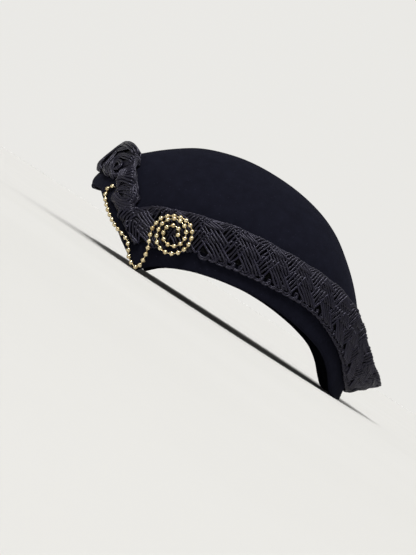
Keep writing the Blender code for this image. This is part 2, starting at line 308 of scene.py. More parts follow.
@dataclass
class Ground:
    """Surface that cords are laid on: a fine grid whose lines run along a band.

    The grid has a line of points for each row place and a column for each share across.
    """

    points: np.ndarray
    normals: np.ndarray
    rows: np.ndarray

    def __post_init__(self) -> None:
        """Measure the band's length and its width."""
        self.run = run_along(self.points[:, self.points.shape[1] // 2])
        self.width = np.linalg.norm(np.diff(self.points, axis=1), axis=2).sum(axis=1)

    def lay(self, row: np.ndarray, share: np.ndarray, lift: np.ndarray) -> tuple[np.ndarray, np.ndarray]:
        """Lift places off the ground, with even blending between the grid's points.

        Args:
            row: Row places.
            share: Shares across, from 0 at the low edge to 1 at the top edge.
            lift: Heights along the normals.

        Returns:
            Points and normals.
        """
        lines, columns = self.points.shape[:2]
        r = np.clip((row - self.rows[0]) / (self.rows[1] - self.rows[0]), 0.0, lines - 1.001)
        c = np.clip(share * (columns - 1), 0.0, columns - 1.001)
        i, j = r.astype(int), c.astype(int)
        fr, fc = (r - i)[:, None], (c - j)[:, None]
        found = []
        for grid in (self.points, self.normals):
            low = grid[i, j] * (1 - fc) + grid[i, j + 1] * fc
            high = grid[i + 1, j] * (1 - fc) + grid[i + 1, j + 1] * fc
            found.append(low * (1 - fr) + high * fr)
        point, normal = found
        normal = unit(normal)
        return point + lift[:, None] * normal, normal

    def side_by_side(self, course: np.ndarray, cords: int, spacing: float) -> list[np.ndarray]:
        """Set cords off to both sides of one smooth course.

        Each cord is the course moved square to its heading, in the band's own flat plane.

        Args:
            course: Row places and shares across that the bundle's middle goes through.
            cords: How many cords there are.
            spacing: Distance between them.

        Returns:
            For each cord, the millimetres along the band and across it.
        """
        along = np.interp(course[:, 0], self.rows, self.run)
        across = course[:, 1] * np.interp(course[:, 0], self.rows, self.width)
        knots = np.stack((along, across), axis=1)
        run = run_along(knots)
        middle = stepped(through_rows(run, knots, np.linspace(0.0, run[-1], 200)), 0.3)
        heading = unit(np.gradient(middle, axis=0))
        aside = np.stack((-heading[:, 1], heading[:, 0]), axis=1)
        places = np.arange(cords) - (cords - 1) / 2.0
        return [middle + place * spacing * aside for place in places]

    def share_of(self, course: np.ndarray) -> tuple[np.ndarray, np.ndarray]:
        """Turn millimetres along and across into row places and shares.

        Args:
            course: Millimetres along the band and across it.

        Returns:
            Row places and shares.
        """
        row = np.interp(course[:, 0], self.run, self.rows)
        return row, np.clip(course[:, 1] / np.interp(row, self.rows, self.width), 0.012, 0.988)


@dataclass
class MeshParts:
    """Many shapes that become one mesh, with a UV map and a tone for each vertex."""

    points: list = field(default_factory=list)
    tones: list = field(default_factory=list)
    faces: list = field(default_factory=list)
    uvs: list = field(default_factory=list)
    finishes: list = field(default_factory=list)
    count: int = 0

    def add_grid(self, grid: np.ndarray, uv: np.ndarray, tone: float = 0.5, finish: int = 0,
                 closed: bool = True, capped: bool = True) -> None:
        """Add a grid of points as quads.

        Args:
            grid: Lines of points.
            uv: UV of each point; a closed grid has one column more, for the seam.
            tone: Tone of the whole shape, from 0 to 1.
            finish: Number of its material.
            closed: Whether each line closes on itself.
            capped: Whether the first and last line are closed with a face.
        """
        lines, columns = grid.shape[:2]
        spans = columns if closed else columns - 1
        r, c = np.meshgrid(np.arange(lines - 1), np.arange(spans), indexing="ij")
        r, c = r.ravel(), c.ravel()
        after = (c + 1) % columns
        quads = np.stack((r * columns + c, r * columns + after, (r + 1) * columns + after,
                          (r + 1) * columns + c), axis=1)
        self.faces += (quads + self.count).tolist()
        corners = np.stack((uv[r, c], uv[r, c + 1], uv[r + 1, c + 1], uv[r + 1, c]), axis=1)
        self.uvs.append(corners.reshape(-1, 2))
        if capped:
            ring = np.arange(columns)
            self.faces.append((ring[::-1] + self.count).tolist())
            self.faces.append((ring + (lines - 1) * columns + self.count).tolist())
            self.uvs += [uv[0, :columns][::-1], uv[-1, :columns]]
        self.finishes += [finish] * (len(quads) + 2 * int(capped))
        self.points.append(grid.reshape(-1, 3))
        self.tones.append(np.full(lines * columns, tone))
        self.count += lines * columns

    def add_tube(self, path: np.ndarray, normals: np.ndarray, radius: float, sides: int,
                 tone: float = 0.5, finish: int = 0) -> None:
        """Add a round cord: a circle carried along a path, drawn in at both ends.

        A ring's point at an angle is centre + radius * (cos * normal + sin * side), where the
        normal is square to the heading and the side is square to both.

        Args:
            path: Centres of the rings.
            normals: Direction at each centre that the cord's UV starts from.
            radius: Radius of the cord.
            sides: How many points each ring has.
            tone: Tone of the whole cord.
            finish: Number of its material.
        """
        heading = unit(np.gradient(path, axis=0))
        side = unit(np.cross(heading, normals))
        up = np.cross(side, heading)
        turns = np.linspace(0.0, FULL_TURN, sides, endpoint=False)
        circle = np.cos(turns)[:, None] * up[:, None] + np.sin(turns)[:, None] * side[:, None]
        radii = np.full(len(path), radius)
        radii[[0, -1]] *= 0.45
        radii[[1, -2]] *= 0.9
        grid = path[:, None] + radii[:, None, None] * circle
        run = run_along(path)
        u, v = np.meshgrid(np.linspace(0.0, 1.0, sides + 1), run)
        self.add_grid(grid, np.stack((u, v), axis=-1), tone, finish)

    def to_piece(self, name: str, materials: list) -> bpy.types.Object:
        """Make the mesh object, with doubles merged and faces turned outward.

        Args:
            name: Name of the piece.
            materials: Materials by their numbers.

        Returns:
            The object, which rides on the hat.
        """
        mesh = bpy.data.meshes.new(name)
        mesh.from_pydata((np.concatenate(self.points) * MM).tolist(), [], self.faces)
        mesh.uv_layers.new(name="lay").data.foreach_set("uv", np.concatenate(self.uvs).ravel())
        tone = mesh.attributes.new("tone", "FLOAT", "POINT")
        tone.data.foreach_set("value", np.concatenate(self.tones))
        mesh.polygons.foreach_set("material_index", np.array(self.finishes, dtype=np.int32))
        shape = bmesh.new()
        shape.from_mesh(mesh)
        bmesh.ops.remove_doubles(shape, verts=shape.verts, dist=0.000001)
        bmesh.ops.recalc_face_normals(shape, faces=shape.faces)
        shape.to_mesh(mesh)
        shape.free()
        mesh.shade_smooth()
        for material in materials:
            mesh.materials.append(material)
        piece = bpy.data.objects.new(name, mesh)
        bpy.context.scene.collection.objects.link(piece)
        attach(piece, "root")
        return piece


def add_node(tree: bpy.types.NodeTree, kind: str, settings: dict | None = None,
             inputs: dict | None = None) -> bpy.types.Node:
    """Add a shader node.

    Args:
        tree: Node tree of the material.
        kind: Kind of node, without the word ShaderNode.
        settings: The node's own settings.
        inputs: Values of its sockets, or outputs of other nodes that are linked to them.

    Returns:
        The node.
    """
    node = tree.nodes.new("ShaderNode" + kind)
    for key, value in (settings or {}).items():
        setattr(node, key, value)
    for key, value in (inputs or {}).items():
        if isinstance(value, bpy.types.NodeSocket):
            tree.links.new(value, node.inputs[key])
        else:
            node.inputs[key].default_value = value
    return node


def new_material(name: str) -> tuple[bpy.types.Material, bpy.types.NodeTree]:
    """Make a material that has only its output node.

    Args:
        name: Name of the material.

    Returns:
        The material and its node tree.
    """
    material = bpy.data.materials.new(name)
    material.use_nodes = True
    tree = material.node_tree
    for node in list(tree.nodes):
        tree.nodes.remove(node)
    return material, tree


def finish_with(tree: bpy.types.NodeTree, inputs: dict) -> None:
    """Add the shader with its sockets and link it to the output.

    Args:
        tree: Node tree of the material.
        inputs: Values or linked outputs for the shader's sockets.
    """
    shader = add_node(tree, "BsdfPrincipled", inputs=inputs)
    add_node(tree, "OutputMaterial", inputs={"Surface": shader.outputs[0]})


def mixed(tree: bpy.types.NodeTree, factor: object, low: object, high: object) -> bpy.types.NodeSocket:
    """Mix two colours.

    Args:
        tree: Node tree of the material.
        factor: Share of the second colour.
        low: First colour.
        high: Second colour.

    Returns:
        The mixed colour's socket.
    """
    return add_node(tree, "Mix", {"data_type": "RGBA"}, {0: factor, 6: low, 7: high}).outputs[2]


def ranged(tree: bpy.types.NodeTree, value: object, start: float, end: float, low: float,
           high: float) -> bpy.types.NodeSocket:
    """Spread a value from one range over another.

    Args:
        tree: Node tree of the material.
        value: Socket of the value.
        start: Value that becomes low.
        end: Value that becomes high.
        low: Result at the start.
        high: Result at the end.

    Returns:
        The result's socket.
    """
    return add_node(tree, "MapRange", {}, {"Value": value, "From Min": start, "From Max": end,
                                           "To Min": low, "To Max": high}).outputs["Result"]


def noise(tree: bpy.types.NodeTree, place: bpy.types.NodeSocket, scale: float,
          **inputs: float) -> bpy.types.NodeSocket:
    """Add cloudy noise of a scale at a place, and return its value."""
    return add_node(tree, "TexNoise", {}, {"Vector": place, "Scale": scale, **inputs}).outputs[0]


def maths(tree: bpy.types.NodeTree, operation: str, *values: object) -> bpy.types.NodeSocket:
    """Add a sum of one or two values, and return its result."""
    return add_node(tree, "Math", {"operation": operation}, dict(enumerate(values))).outputs[0]


def bumped(tree: bpy.types.NodeTree, height: bpy.types.NodeSocket, strength: float, depth: float,
           **under: bpy.types.NodeSocket) -> bpy.types.NodeSocket:
    """Add a bump as deep as so many millimetres, over another one where there is one."""
    inputs = {"Height": height, "Strength": strength, "Distance": depth * MM, **under}
    return add_node(tree, "Bump", {}, inputs).outputs[0]


@dataclass(frozen=True)
class WoolFelt:
    """Blocked wool felt, brushed: matt and near black navy, with a pale bloom of loose fibre."""

    deep: str = "#0c0c14"
    open_nap: str = "#171823"
    lint: str = "#30303f"
    bloom: str = "#5c6080"
    fibre: float = 0.45
    mottle: float = 7.0
    dent: float = 26.0
    lint_pitch: float = 3.2
    fibre_depth: float = 0.22
    dent_depth: float = 1.2

    def material(self) -> bpy.types.Material:
        """Build the felt, drawn by its place on the hat.

        Returns:
            The material.
        """
        material, tree = new_material("brushed_wool_felt")
        place = add_node(tree, "TexCoord").outputs["Object"]
        # Cloudy nap: the brushing leaves patches a few millimetres wide
        nap = noise(tree, place, 1.0 / (self.mottle * MM), Detail=5.0, Roughness=0.65)
        # Matted fibre. Real wool is 0.02 mm thick, drawn here as tufts that a camera can see
        tufts = noise(tree, place, 1.0 / (self.fibre * MM), Detail=4.0, Roughness=0.7, Distortion=1.6)
        brushed = linear(self.open_nap)
        colour = mixed(tree, ranged(tree, nap, 0.3, 0.75, 0.15, 0.75), linear(self.deep), brushed)
        colour = mixed(tree, ranged(tree, tufts, 0.45, 0.8, 0.0, 0.7), colour, brushed)
        # Lint: pale specks that catch on the nap
        specks = add_node(tree, "TexVoronoi", {}, {"Vector": place, "Scale": 1.0 / (self.lint_pitch * MM)})
        caught = ranged(tree, specks.outputs["Distance"], 0.05, 0.11, 0.55, 0.0)
        colour = mixed(tree, caught, colour, linear(self.lint))
        rough = ranged(tree, tufts, 0.3, 0.7, 0.86, 1.0)
        fine = bumped(tree, tufts, 0.45, self.fibre_depth)
        # Blocking over a wooden form leaves very shallow dents
        dents = noise(tree, place, 1.0 / (self.dent * MM), Detail=2.0)
        bump = bumped(tree, dents, 0.35, self.dent_depth, Normal=fine)
        finish_with(tree, {"Base Color": colour, "Roughness": rough, "Normal": bump, "Sheen Weight": 0.04,
                           "Sheen Roughness": 0.45, "Sheen Tint": linear(self.bloom),
                           "Specular IOR Level": 0.04})
        return material


@dataclass(frozen=True)
class RayonCord:
    """Twisted rayon cord: near black navy with a soft grey satin light on each strand."""

    deep: str = "#07070c"
    worn: str = "#131220"
    satin: str = "#dcd8f0"
    strands: float = 3.0
    lay: float = 2.7
    filament: float = 0.35
    strand_depth: float = 0.12
    filament_depth: float = 0.05

    def material(self) -> bpy.types.Material:
        """Build the cord, drawn by its own UV: turns round it and millimetres along it.

        Returns:
            The material.
        """
        material, tree = new_material("twisted_rayon_cord")
        uv = add_node(tree, "SeparateXYZ", {}, {0: add_node(tree, "UVMap", {"uv_map": "lay"}).outputs[0]})
        # Strands laid round each other: a wave that climbs one strand's pitch each turn
        turns = maths(tree, "MULTIPLY", uv.outputs[0], self.strands)
        lays = maths(tree, "DIVIDE", uv.outputs[1], self.lay / self.strands)
        spiral = maths(tree, "ADD", turns, lays)
        wave = maths(tree, "SINE", maths(tree, "MULTIPLY", spiral, FULL_TURN))
        # Filaments lie along the strands. They are 0.02 mm thick, drawn here as coarse as shows
        across = maths(tree, "MULTIPLY", turns, 4.0)
        along = maths(tree, "MULTIPLY", uv.outputs[1], 0.5)
        laid = add_node(tree, "CombineXYZ", {}, {0: across, 1: along}).outputs[0]
        hair = noise(tree, laid, 1.0 / self.filament, Detail=3.0)
        tone = add_node(tree, "Attribute", {"attribute_name": "tone"}).outputs["Fac"]
        worn = maths(tree, "MULTIPLY", hair, tone)
        colour = mixed(tree, ranged(tree, worn, 0.1, 0.55, 0.0, 1.0), linear(self.deep), linear(self.worn))
        rough = ranged(tree, hair, 0.3, 0.7, 0.26, 0.38)
        strand = bumped(tree, wave, 0.22, self.strand_depth)
        bump = bumped(tree, hair, 0.15, self.filament_depth, Normal=strand)
        finish_with(tree, {"Base Color": colour, "Roughness": rough, "Normal": bump,
                           "Specular IOR Level": 0.5, "Specular Tint": linear(self.satin)})
        return material


@dataclass(frozen=True)
class LaidBacking:
    """Under layer of the braid: dull fine cords laid along it, painted near black as shade in the gaps of the
    cords over it.
    """

    # Painted shade: both tones are near black, darker than the felt and the cords, and stand for the shade in
    # the gaps between the cords.
    deep: str = "#040406"
    ridge: str = "#09090e"
    pitch: float = 1.4
    slub: float = 0.9
    ridge_depth: float = 0.35

    def material(self) -> bpy.types.Material:
        """Build the under layer, drawn by its own UV: millimetres across and along.

        Returns:
            The material.
        """
        material, tree = new_material("laid_braid_backing")
        uv = add_node(tree, "SeparateXYZ", {}, {0: add_node(tree, "UVMap", {"uv_map": "lay"}).outputs[0]})
        # Ridges one cord apart: the sine of the place across
        wave = maths(tree, "SINE", maths(tree, "MULTIPLY", uv.outputs[0], FULL_TURN / self.pitch))
        place = add_node(tree, "TexCoord").outputs["Object"]
        slub = noise(tree, place, 1.0 / (self.slub * MM), Detail=3.0)
        # Painted shade: the colour darkens from each ridge into the trough beside it, where shade falls.
        colour = mixed(tree, ranged(tree, wave, -0.4, 1.0, 0.0, 1.0), linear(self.deep), linear(self.ridge))
        bump = bumped(tree, wave, 0.9, self.ridge_depth)
        finish_with(tree, {"Base Color": colour, "Roughness": ranged(tree, slub, 0.3, 0.7, 0.6, 0.85),
                           "Normal": bump, "Specular IOR Level": 0.1})
        return material


@dataclass(frozen=True)
class PaleBrass:
    """Polished pale gold ball chain, a little dulled by handling."""

    bright: str = "#eadcb6"
    dulled: str = "#a88c54"
    rim: str = "#7a5f33"
    patch: float = 2.5
    dimple: float = 0.35
    dimple_depth: float = 0.04

    def material(self) -> bpy.types.Material:
        """Build the metal, drawn by its place on the hat.

        Returns:
            The material.
        """
        material, tree = new_material("pale_brass")
        place = add_node(tree, "TexCoord").outputs["Object"]
        # Lacquer worn in patches of about a ball
        patch = noise(tree, place, 1.0 / (self.patch * MM), Detail=4.0)
        dulling = ranged(tree, patch, 0.42, 0.75, 0.0, 1.0)
        colour = mixed(tree, dulling, linear(self.bright), linear(self.dulled))
        # Tumbling leaves fine dimples
        bump = bumped(tree, noise(tree, place, 1.0 / (self.dimple * MM)), 0.2, self.dimple_depth)
        finish_with(tree, {"Base Color": colour, "Metallic": 1.0, "Normal": bump,
                           "Roughness": ranged(tree, patch, 0.35, 0.75, 0.22, 0.36),
                           "Specular Tint": linear(self.rim)})
        return material


@dataclass(frozen=True)
class PaleFloor:
    """Matt pale board under the hat."""

    colour: str = "#d8d7d4"
    faint: str = "#d0cfcb"
    glow: str = "#e8e7e3"

    def material(self) -> bpy.types.Material:
        """Build the board, with a faint cloudiness.

        Returns:
            The material.
        """
        material, tree = new_material("pale_matt_board")
        place = add_node(tree, "TexCoord").outputs["Object"]
        cloud = noise(tree, place, 6.0, Detail=6.0)
        colour = mixed(tree, cloud, linear(self.colour), linear(self.faint))
        finish_with(tree, {"Base Color": colour, "Roughness": 0.9, "Specular IOR Level": 0.2})
        return material


@dataclass
class FeltCrown:
    """The blocked shell: its outside, its turned edge and its inside."""

    wall: float = 2.2
    edge_radius: float = 1.5
    outer_lines: int = 60
    edge_lines: int = 9
    inner_lines: int = 36
    lip_height: float = 6.0
    lip_depth: float = 2.4
    lip_azimuth: float = 20.0
    lip_fade: float = 13.0

    def grid(self) -> np.ndarray:
        """Work out the shell: a profile up the outside, round the edge and up the inside.

        The outside goes from the top to the edge on the crown's form, the edge is a half
        circle, and the inside is the form moved in by the wall.

        Returns:
            Lines of points, each once round the hat.
        """
        left = np.union1d(np.linspace(0.0, 180.0, 91), np.arange(56.0, 64.5, 0.5))
        azimuths = np.concatenate((left, 360.0 - left[-2:0:-1]))
        edge = CROWN.rim_height(azimuths) + self.edge_radius
        top_share = np.linspace(0.0, 1.0, self.outer_lines)[:, None]
        outer = CROWN.point(azimuths, 90.0 + top_share * (CROWN.elevation_of(edge) - 90.0))

        elevation = CROWN.elevation_of(edge)
        outward = CROWN.normal(azimuths, elevation)
        around = CROWN.point(azimuths + 0.05, elevation) - CROWN.point(azimuths - 0.05, elevation)
        down = unit(np.cross(outward, around))
        down *= np.where(down[:, 2:] > 0.0, -1.0, 1.0)
        centre = CROWN.point(azimuths, elevation) - self.edge_radius * outward
        turn = np.radians(np.linspace(0.0, 180.0, self.edge_lines + 2)[1:-1])[:, None, None]
        nose = centre + self.edge_radius * (np.cos(turn) * outward + np.sin(turn) * down)

        start = CROWN.elevation_of(edge + self.edge_radius)
        rise = np.linspace(0.0, 1.0, self.inner_lines)[:, None]
        elevation = np.minimum(start + rise * (90.0 - start), 89.9)
        inner = CROWN.point(azimuths, elevation) - self.wall * CROWN.normal(azimuths, elevation)

        grid = self.roll_lip(np.concatenate((outer, nose, inner)), azimuths, edge)
        grid[0] = (0.0, grid[0, 0, 1], CROWN.height)
        grid[-1] = (0.0, grid[0, 0, 1], CROWN.height - self.wall)
        grid[..., 2] = np.maximum(grid[..., 2], 0.0)
        return grid

    def roll_lip(self, grid: np.ndarray, azimuths: np.ndarray, edge: np.ndarray) -> np.ndarray:
        """Turn the front lip in: the nearer the edge, the further in, as a quarter of a circle.

        Args:
            grid: Lines of points.
            azimuths: Angle round the crown of each column.
            edge: Height of the edge's centre at each column.

        Returns:
            The grid with its rolled lip.
        """
        turned = np.minimum(azimuths, 360.0 - azimuths)
        strength = 1.0 - ease((turned - self.lip_azimuth) / self.lip_fade)
        near = np.clip(1.0 - (grid[..., 2] - edge) / self.lip_height, 0.0, 0.96)
        depth = self.lip_depth * strength * (1.0 - np.sqrt(1.0 - near**2))
        level = CROWN.elevation_of(np.maximum(grid[..., 2], 0.0))
        return grid - depth[..., None] * CROWN.normal(azimuths, np.minimum(level, 89.0))

    def build(self, finish: WoolFelt) -> bpy.types.Object:
        """Build the felt piece and put it in the place of the CAD solid.

        Args:
            finish: The felt.

        Returns:
            The piece.
        """
        grid = self.grid()
        u, v = np.meshgrid(np.linspace(0.0, 1.0, grid.shape[1] + 1), np.linspace(0.0, 1.0, len(grid)))
        parts = MeshParts()
        parts.add_grid(grid, np.stack((u, v), axis=-1), capped=False)
        piece = parts.to_piece("blocked_felt", [finish.material()])
        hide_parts("felt_crown")
        return piece


@dataclass
class FoldedRibbons:
    """Pattern of the braid: flat ribbons of cords, folded to and fro across it.

    In a plane whose first axis runs along the braid, each cord climbs from a valley to a peak
    and comes down again, and its neighbour does the same a step further along. Each leg
    starts under the others and ends over them, which weaves the ribbons together.
    """

    period: float = 22.0
    fall: float = 13.8
    valleys: tuple = (2.6, 12.0, 20.4)
    peaks: tuple = (17.4, 25.6, 27.0)
    shifts: tuple = (0.0, -3.4, -6.8)
    counts: tuple = (5, 5, 4)
    step_along: float = 2.65
    step_across: float = 0.28
    low: float = 1.45
    high: float = 3.0
    softness: float = 1.35
    nominal_width: float = 26.0

    def cord(self, row: int, number: int, end: float) -> np.ndarray:
        """Work out one cord's course: straight legs with rounded, diving corners.

        Args:
            row: Row of the pattern.
            number: Number of the cord in its ribbon.
            end: Length of the braid in the pattern's plane.

        Returns:
            Place along, place across and height of evenly spaced points.
        """
        offset = number - (self.counts[row] - 1) / 2.0
        start = self.shifts[row] + offset * self.step_along
        rise = offset * self.step_across
        folds = np.arange(-2, int(end / self.period) + 3) * self.period + start
        valley, peak = self.valleys[row] + rise, self.peaks[row] + rise
        ones = np.ones_like(folds)
        legs = np.stack((
            np.stack((folds, peak * ones, self.high * ones), axis=1),
            np.stack((folds, peak * ones, self.low * ones), axis=1),
            np.stack((folds + self.fall, valley * ones, self.high * ones), axis=1),
            np.stack((folds + self.fall, valley * ones, self.low * ones), axis=1),
        ), axis=1).reshape(-1, 3)
        fine = 0.25
        return rounded(stepped(legs, fine), self.softness / fine)


@dataclass(frozen=True)
class Bundle:
    """Some cords that run side by side over a braid.

    Its course is a list of places: the row on the band and the share across.
    """

    cords: int
    lift: float
    course: tuple
    spacing: float = 1.72


@dataclass(frozen=True)
class CordMake:
    """A cord's radius, the distance between its rings and how many points each ring has."""

    radius: float
    step: float
    sides: int

    def add(self, parts: MeshParts, path: np.ndarray, normals: np.ndarray, rng: np.random.Generator) -> None:
        """Add a cord with a tone of its own.

        Args:
            parts: Shapes of the braid.
            path: Centres of its rings.
            normals: Direction at each centre that points off the braid.
            rng: Seeded source of chance.
        """
        parts.add_tube(path, normals, self.radius, self.sides, tone=float(rng.uniform(0.35, 1.0)))


def add_layer(parts: MeshParts, ground: Ground, rows: np.ndarray, shares: np.ndarray, lifts: tuple,
              width: float) -> None:
    """Add a thin layer under a braid: two skins a little apart, joined at their edges.

    Args:
        parts: Shapes of the braid.
        ground: The band.
        rows: Row places of its lines.
        shares: Shares across of its columns.
        lifts: Height of the upper skin and of the lower one.
        width: Width of the braid that its UV is measured in.
    """
    row, share = (side.ravel() for side in np.meshgrid(rows, shares, indexing="ij"))
    skins = [ground.lay(row, share, np.full(row.shape, lift))[0].reshape(len(rows), len(shares), 3)
             for lift in lifts]
    grid = np.concatenate((skins[0], skins[1][:, ::-1]), axis=1)
    across = np.concatenate((shares, shares[::-1], shares[:1])) * width
    u, v = np.meshgrid(across, np.interp(rows, ground.rows, ground.run))
    parts.add_grid(grid, np.stack((u, v), axis=-1), finish=1)


@dataclass
class SideBraid:
    """Wide braid from the left temple round the nape to the right temple.

    Each band row holds the azimuth and height of its low edge, those of its top edge, and how
    far the top edge flares off the felt. Peak places are where the photo's folds lie.
    """

    cord: CordMake = CordMake(0.76, 0.95, 6)
    border_cord: CordMake = CordMake(0.76, 1.2, 6)
    picot_cord: CordMake = CordMake(0.6, 0.85, 5)
    picot_pitch: float = 5.2
    picot_sizes: tuple = (2.3, 1.2)
    picot_lift: float = 2.1
    picot_margin: float = 44.0
    border_places: tuple = (24.9, 26.0)
    border_margin: float = 2.0
    border_lift: float = 1.5
    backing_reach: tuple = (0.17, 0.90)
    backing_lifts: tuple = (1.05, 0.45)
    foot: float = 0.9
    dive_reach: float = 3.0
    band: tuple = (
        (57.5, 11.5, 42.0, 25.5, 0.0), (60.0, 13.5, 49.5, 31.6, 0.0), (63.5, 15.5, 54.6, 38.0, 0.0),
        (67.0, 18.5, 60.0, 42.6, 0.0), (71.0, 22.3, 65.5, 46.5, 0.0), (76.0, 26.8, 71.5, 50.0, 0.0),
        (82.0, 30.0, 78.0, 53.5, 0.0), (89.0, 32.8, 86.0, 56.0, 0.0), (97.0, 34.5, 95.0, 57.3, 0.0),
        (106.0, 35.8, 104.5, 58.0, 0.2), (115.0, 36.6, 114.0, 58.2, 0.6), (122.5, 35.6, 122.5, 57.7, 1.8),
        (129.0, 33.0, 130.5, 55.8, 4.0), (135.0, 29.6, 137.0, 52.5, 6.0), (141.0, 25.6, 143.0, 48.9, 6.9),
        (146.5, 20.6, 149.0, 44.3, 7.0), (152.0, 15.0, 155.5, 36.8, 8.4), (159.0, 10.8, 162.5, 28.0, 12.4),
        (169.0, 8.8, 171.0, 22.3, 17.4), (180.0, 8.3, 180.0, 19.0, 20.6),
    )
    peak_runs: tuple = (9.5, 30.0, 50.5, 73.0, 93.0, 112.0, 130.0, 147.0, 164.0, 181.0, 198.0, 215.0)
    temple_bundles: tuple = (
        Bundle(5, 3.2, ((0.15, 0.62), (0.5, 0.78), (1.0, 0.95)), 1.9),
        Bundle(4, 3.1, ((1.3, 0.95), (1.6, 0.72), (2.1, 0.5)), 1.9),
    )
    seed: int = 11

    def ground(self) -> Ground:
        """Work out the whole band, left side and mirrored right side in one strip.

        The azimuth and height run evenly from the low edge to the top edge, and the flare
        lifts each point along the crown's normal in proportion to its place across.

        Returns:
            The fine grid that the cords lie on.
        """
        left = np.array(self.band)
        right = left[-2::-1] * (-1.0, 1.0, -1.0, 1.0, 1.0) + (360.0, 0.0, 360.0, 0.0, 0.0)
        table = np.concatenate((left, right))
        rows = np.linspace(0.0, len(table) - 1.0, (len(table) - 1) * 20 + 1)
        edges = through_rows(np.arange(len(table), dtype=float), table, rows)
        low_azimuth, low_height, top_azimuth, top_height, flare = (edges[:, k, None] for k in range(5))
        share = np.linspace(0.0, 1.0, 41)
        azimuth = low_azimuth + (top_azimuth - low_azimuth) * share
        elevation = CROWN.elevation_of(low_height + (top_height - low_height) * share)
        points = CROWN.point(azimuth, elevation)
        points = points + (flare * share)[..., None] * CROWN.normal(azimuth, elevation)
        normals = unit(np.cross(np.gradient(points, axis=0), np.gradient(points, axis=1)))
        return Ground(points, normals, rows)

    def rows_along(self, ground: Ground, pattern: FoldedRibbons, along: np.ndarray) -> np.ndarray:
        """Turn places along the pattern into row places on the band.

        Args:
            ground: The band.
            pattern: The braid's pattern.
            along: Places along the pattern.

        Returns:
            Row places, where the pattern's peaks fall on their measured places.
        """
        half = ground.run[-1] / 2.0
        peaks = np.array(self.peak_runs)
        beyond = len(peaks) - 1 + (half - peaks[-1]) / (peaks[-1] - peaks[-2])
        phases = np.concatenate(([-1.0], np.arange(len(peaks)), [beyond]))
        runs = np.concatenate(([2 * peaks[0] - peaks[1]], peaks, [half]))
        phases = np.concatenate((phases, 2 * beyond - phases[-2::-1]))
        runs = np.concatenate((runs, 2 * half - runs[-2::-1]))
        run = np.interp(along / pattern.period, phases, runs)
        return np.interp(run, ground.run, ground.rows)

    def pattern_end(self, ground: Ground, pattern: FoldedRibbons) -> float:
        """Return the length of the whole braid in the pattern's plane."""
        half = ground.run[-1] / 2.0
        last = self.peak_runs[-1]
        beyond = len(self.peak_runs) - 1 + (half - last) / (last - self.peak_runs[-2])
        return (2.0 * beyond + 1.0) * pattern.period

    def add_cord(self, parts: MeshParts, ground: Ground, pattern: FoldedRibbons, course: np.ndarray,
                 make: CordMake, rng: np.random.Generator) -> None:
        """Lay one cord on the band and let both its ends dive under the others.

        Args:
            parts: Shapes of the braid.
            ground: The band.
            pattern: The braid's pattern.
            course: Place along, place across and height of the cord's points.
            make: Size and fineness of the cord.
            rng: Seeded source of chance.
        """
        course = course + wander(rng, run_along(course), 3, 1.0) * (0.28, 0.22, 0.10)
        row = self.rows_along(ground, pattern, course[:, 0])
        inside = (row > 0.06) & (row < ground.rows[-1] - 0.06)
        course, row = course[inside], row[inside]
        run = run_along(course)
        dive = from_ends(run, self.dive_reach)
        share = np.clip(course[:, 1] / pattern.nominal_width, 0.015, 0.985)
        lift = self.foot + (course[:, 2] - self.foot) * dive
        path, normals = ground.lay(row, share, lift)
        both = stepped(np.concatenate((path, normals), axis=1), make.step)
        make.add(parts, both[:, :3], unit(both[:, 3:]), rng)

    def add_temple_bundles(self, parts: MeshParts, ground: Ground, rng: np.random.Generator) -> None:
        """Add the cords that close the braid at both temples, over the folded ribbons.

        Args:
            parts: Shapes of the braid.
            ground: The band.
            rng: Seeded source of chance.
        """
        for bundle in self.temple_bundles:
            for end in (0.0, ground.rows[-1]):
                places = np.abs(np.array(bundle.course) - (end, 0.0))
                for course in ground.side_by_side(places, bundle.cords, bundle.spacing):
                    course = course + wander(rng, run_along(course), 2, 0.15)
                    run = run_along(course)
                    dive = from_ends(run, self.dive_reach)
                    row, share = ground.share_of(course)
                    lift = self.foot + (bundle.lift - self.foot) * dive
                    path, normals = ground.lay(row, share, lift)
                    self.cord.add(parts, path[::3], normals[::3], rng)

    def picot(self, start: float, end: float, size: float) -> np.ndarray:
        """Work out the loops of the low edge: a point that circles while it moves along.

        Args:
            start: Where the loops begin along the pattern.
            end: Where they end.
            size: Radius of the loops.

        Returns:
            Place along, place across and height of the cord's points.
        """
        turn = np.arange(start, end, 0.12) / self.picot_pitch * FULL_TURN
        along = turn / FULL_TURN * self.picot_pitch + 0.9 * size * np.sin(turn)
        return np.stack((along, 2.6 - size * np.cos(turn), self.picot_lift + 0.4 * np.sin(turn)), axis=1)

    def build(self, cord: RayonCord, backing: LaidBacking, pattern: FoldedRibbons) -> bpy.types.Object:
        """Build the side braid and put it in the place of the CAD solid.

        Args:
            cord: Finish of the cords.
            backing: Finish of the under layer.
            pattern: How the ribbons are folded.

        Returns:
            The piece.
        """
        rng = np.random.default_rng(self.seed)
        ground = self.ground()
        end = self.pattern_end(ground, pattern)
        parts = MeshParts()
        rows = np.linspace(0.05, ground.rows[-1] - 0.05, 300)
        shares = np.linspace(*self.backing_reach, 12)
        add_layer(parts, ground, rows, shares, self.backing_lifts, pattern.nominal_width)
        for row, count in enumerate(pattern.counts):
            for number in range(count):
                course = pattern.cord(row, number, end)
                self.add_cord(parts, ground, pattern, course, self.cord, rng)
        self.add_temple_bundles(parts, ground, rng)
        for size in self.picot_sizes:
            loops = self.picot(self.picot_margin, end - pattern.period - self.picot_margin, size)
            self.add_cord(parts, ground, pattern, loops, self.picot_cord, rng)
        for across in self.border_places:
            edge = np.arange(self.border_margin, end - pattern.period - self.border_margin, 0.3)
            level = np.full_like(edge, self.border_lift)
            border = np.stack((edge, np.full_like(edge, across), level), axis=1)
            self.add_cord(parts, ground, pattern, border, self.border_cord, rng)
        piece = parts.to_piece("side_braid_cords", [cord.material(), backing.material()])
        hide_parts("side_braid")
        return piece


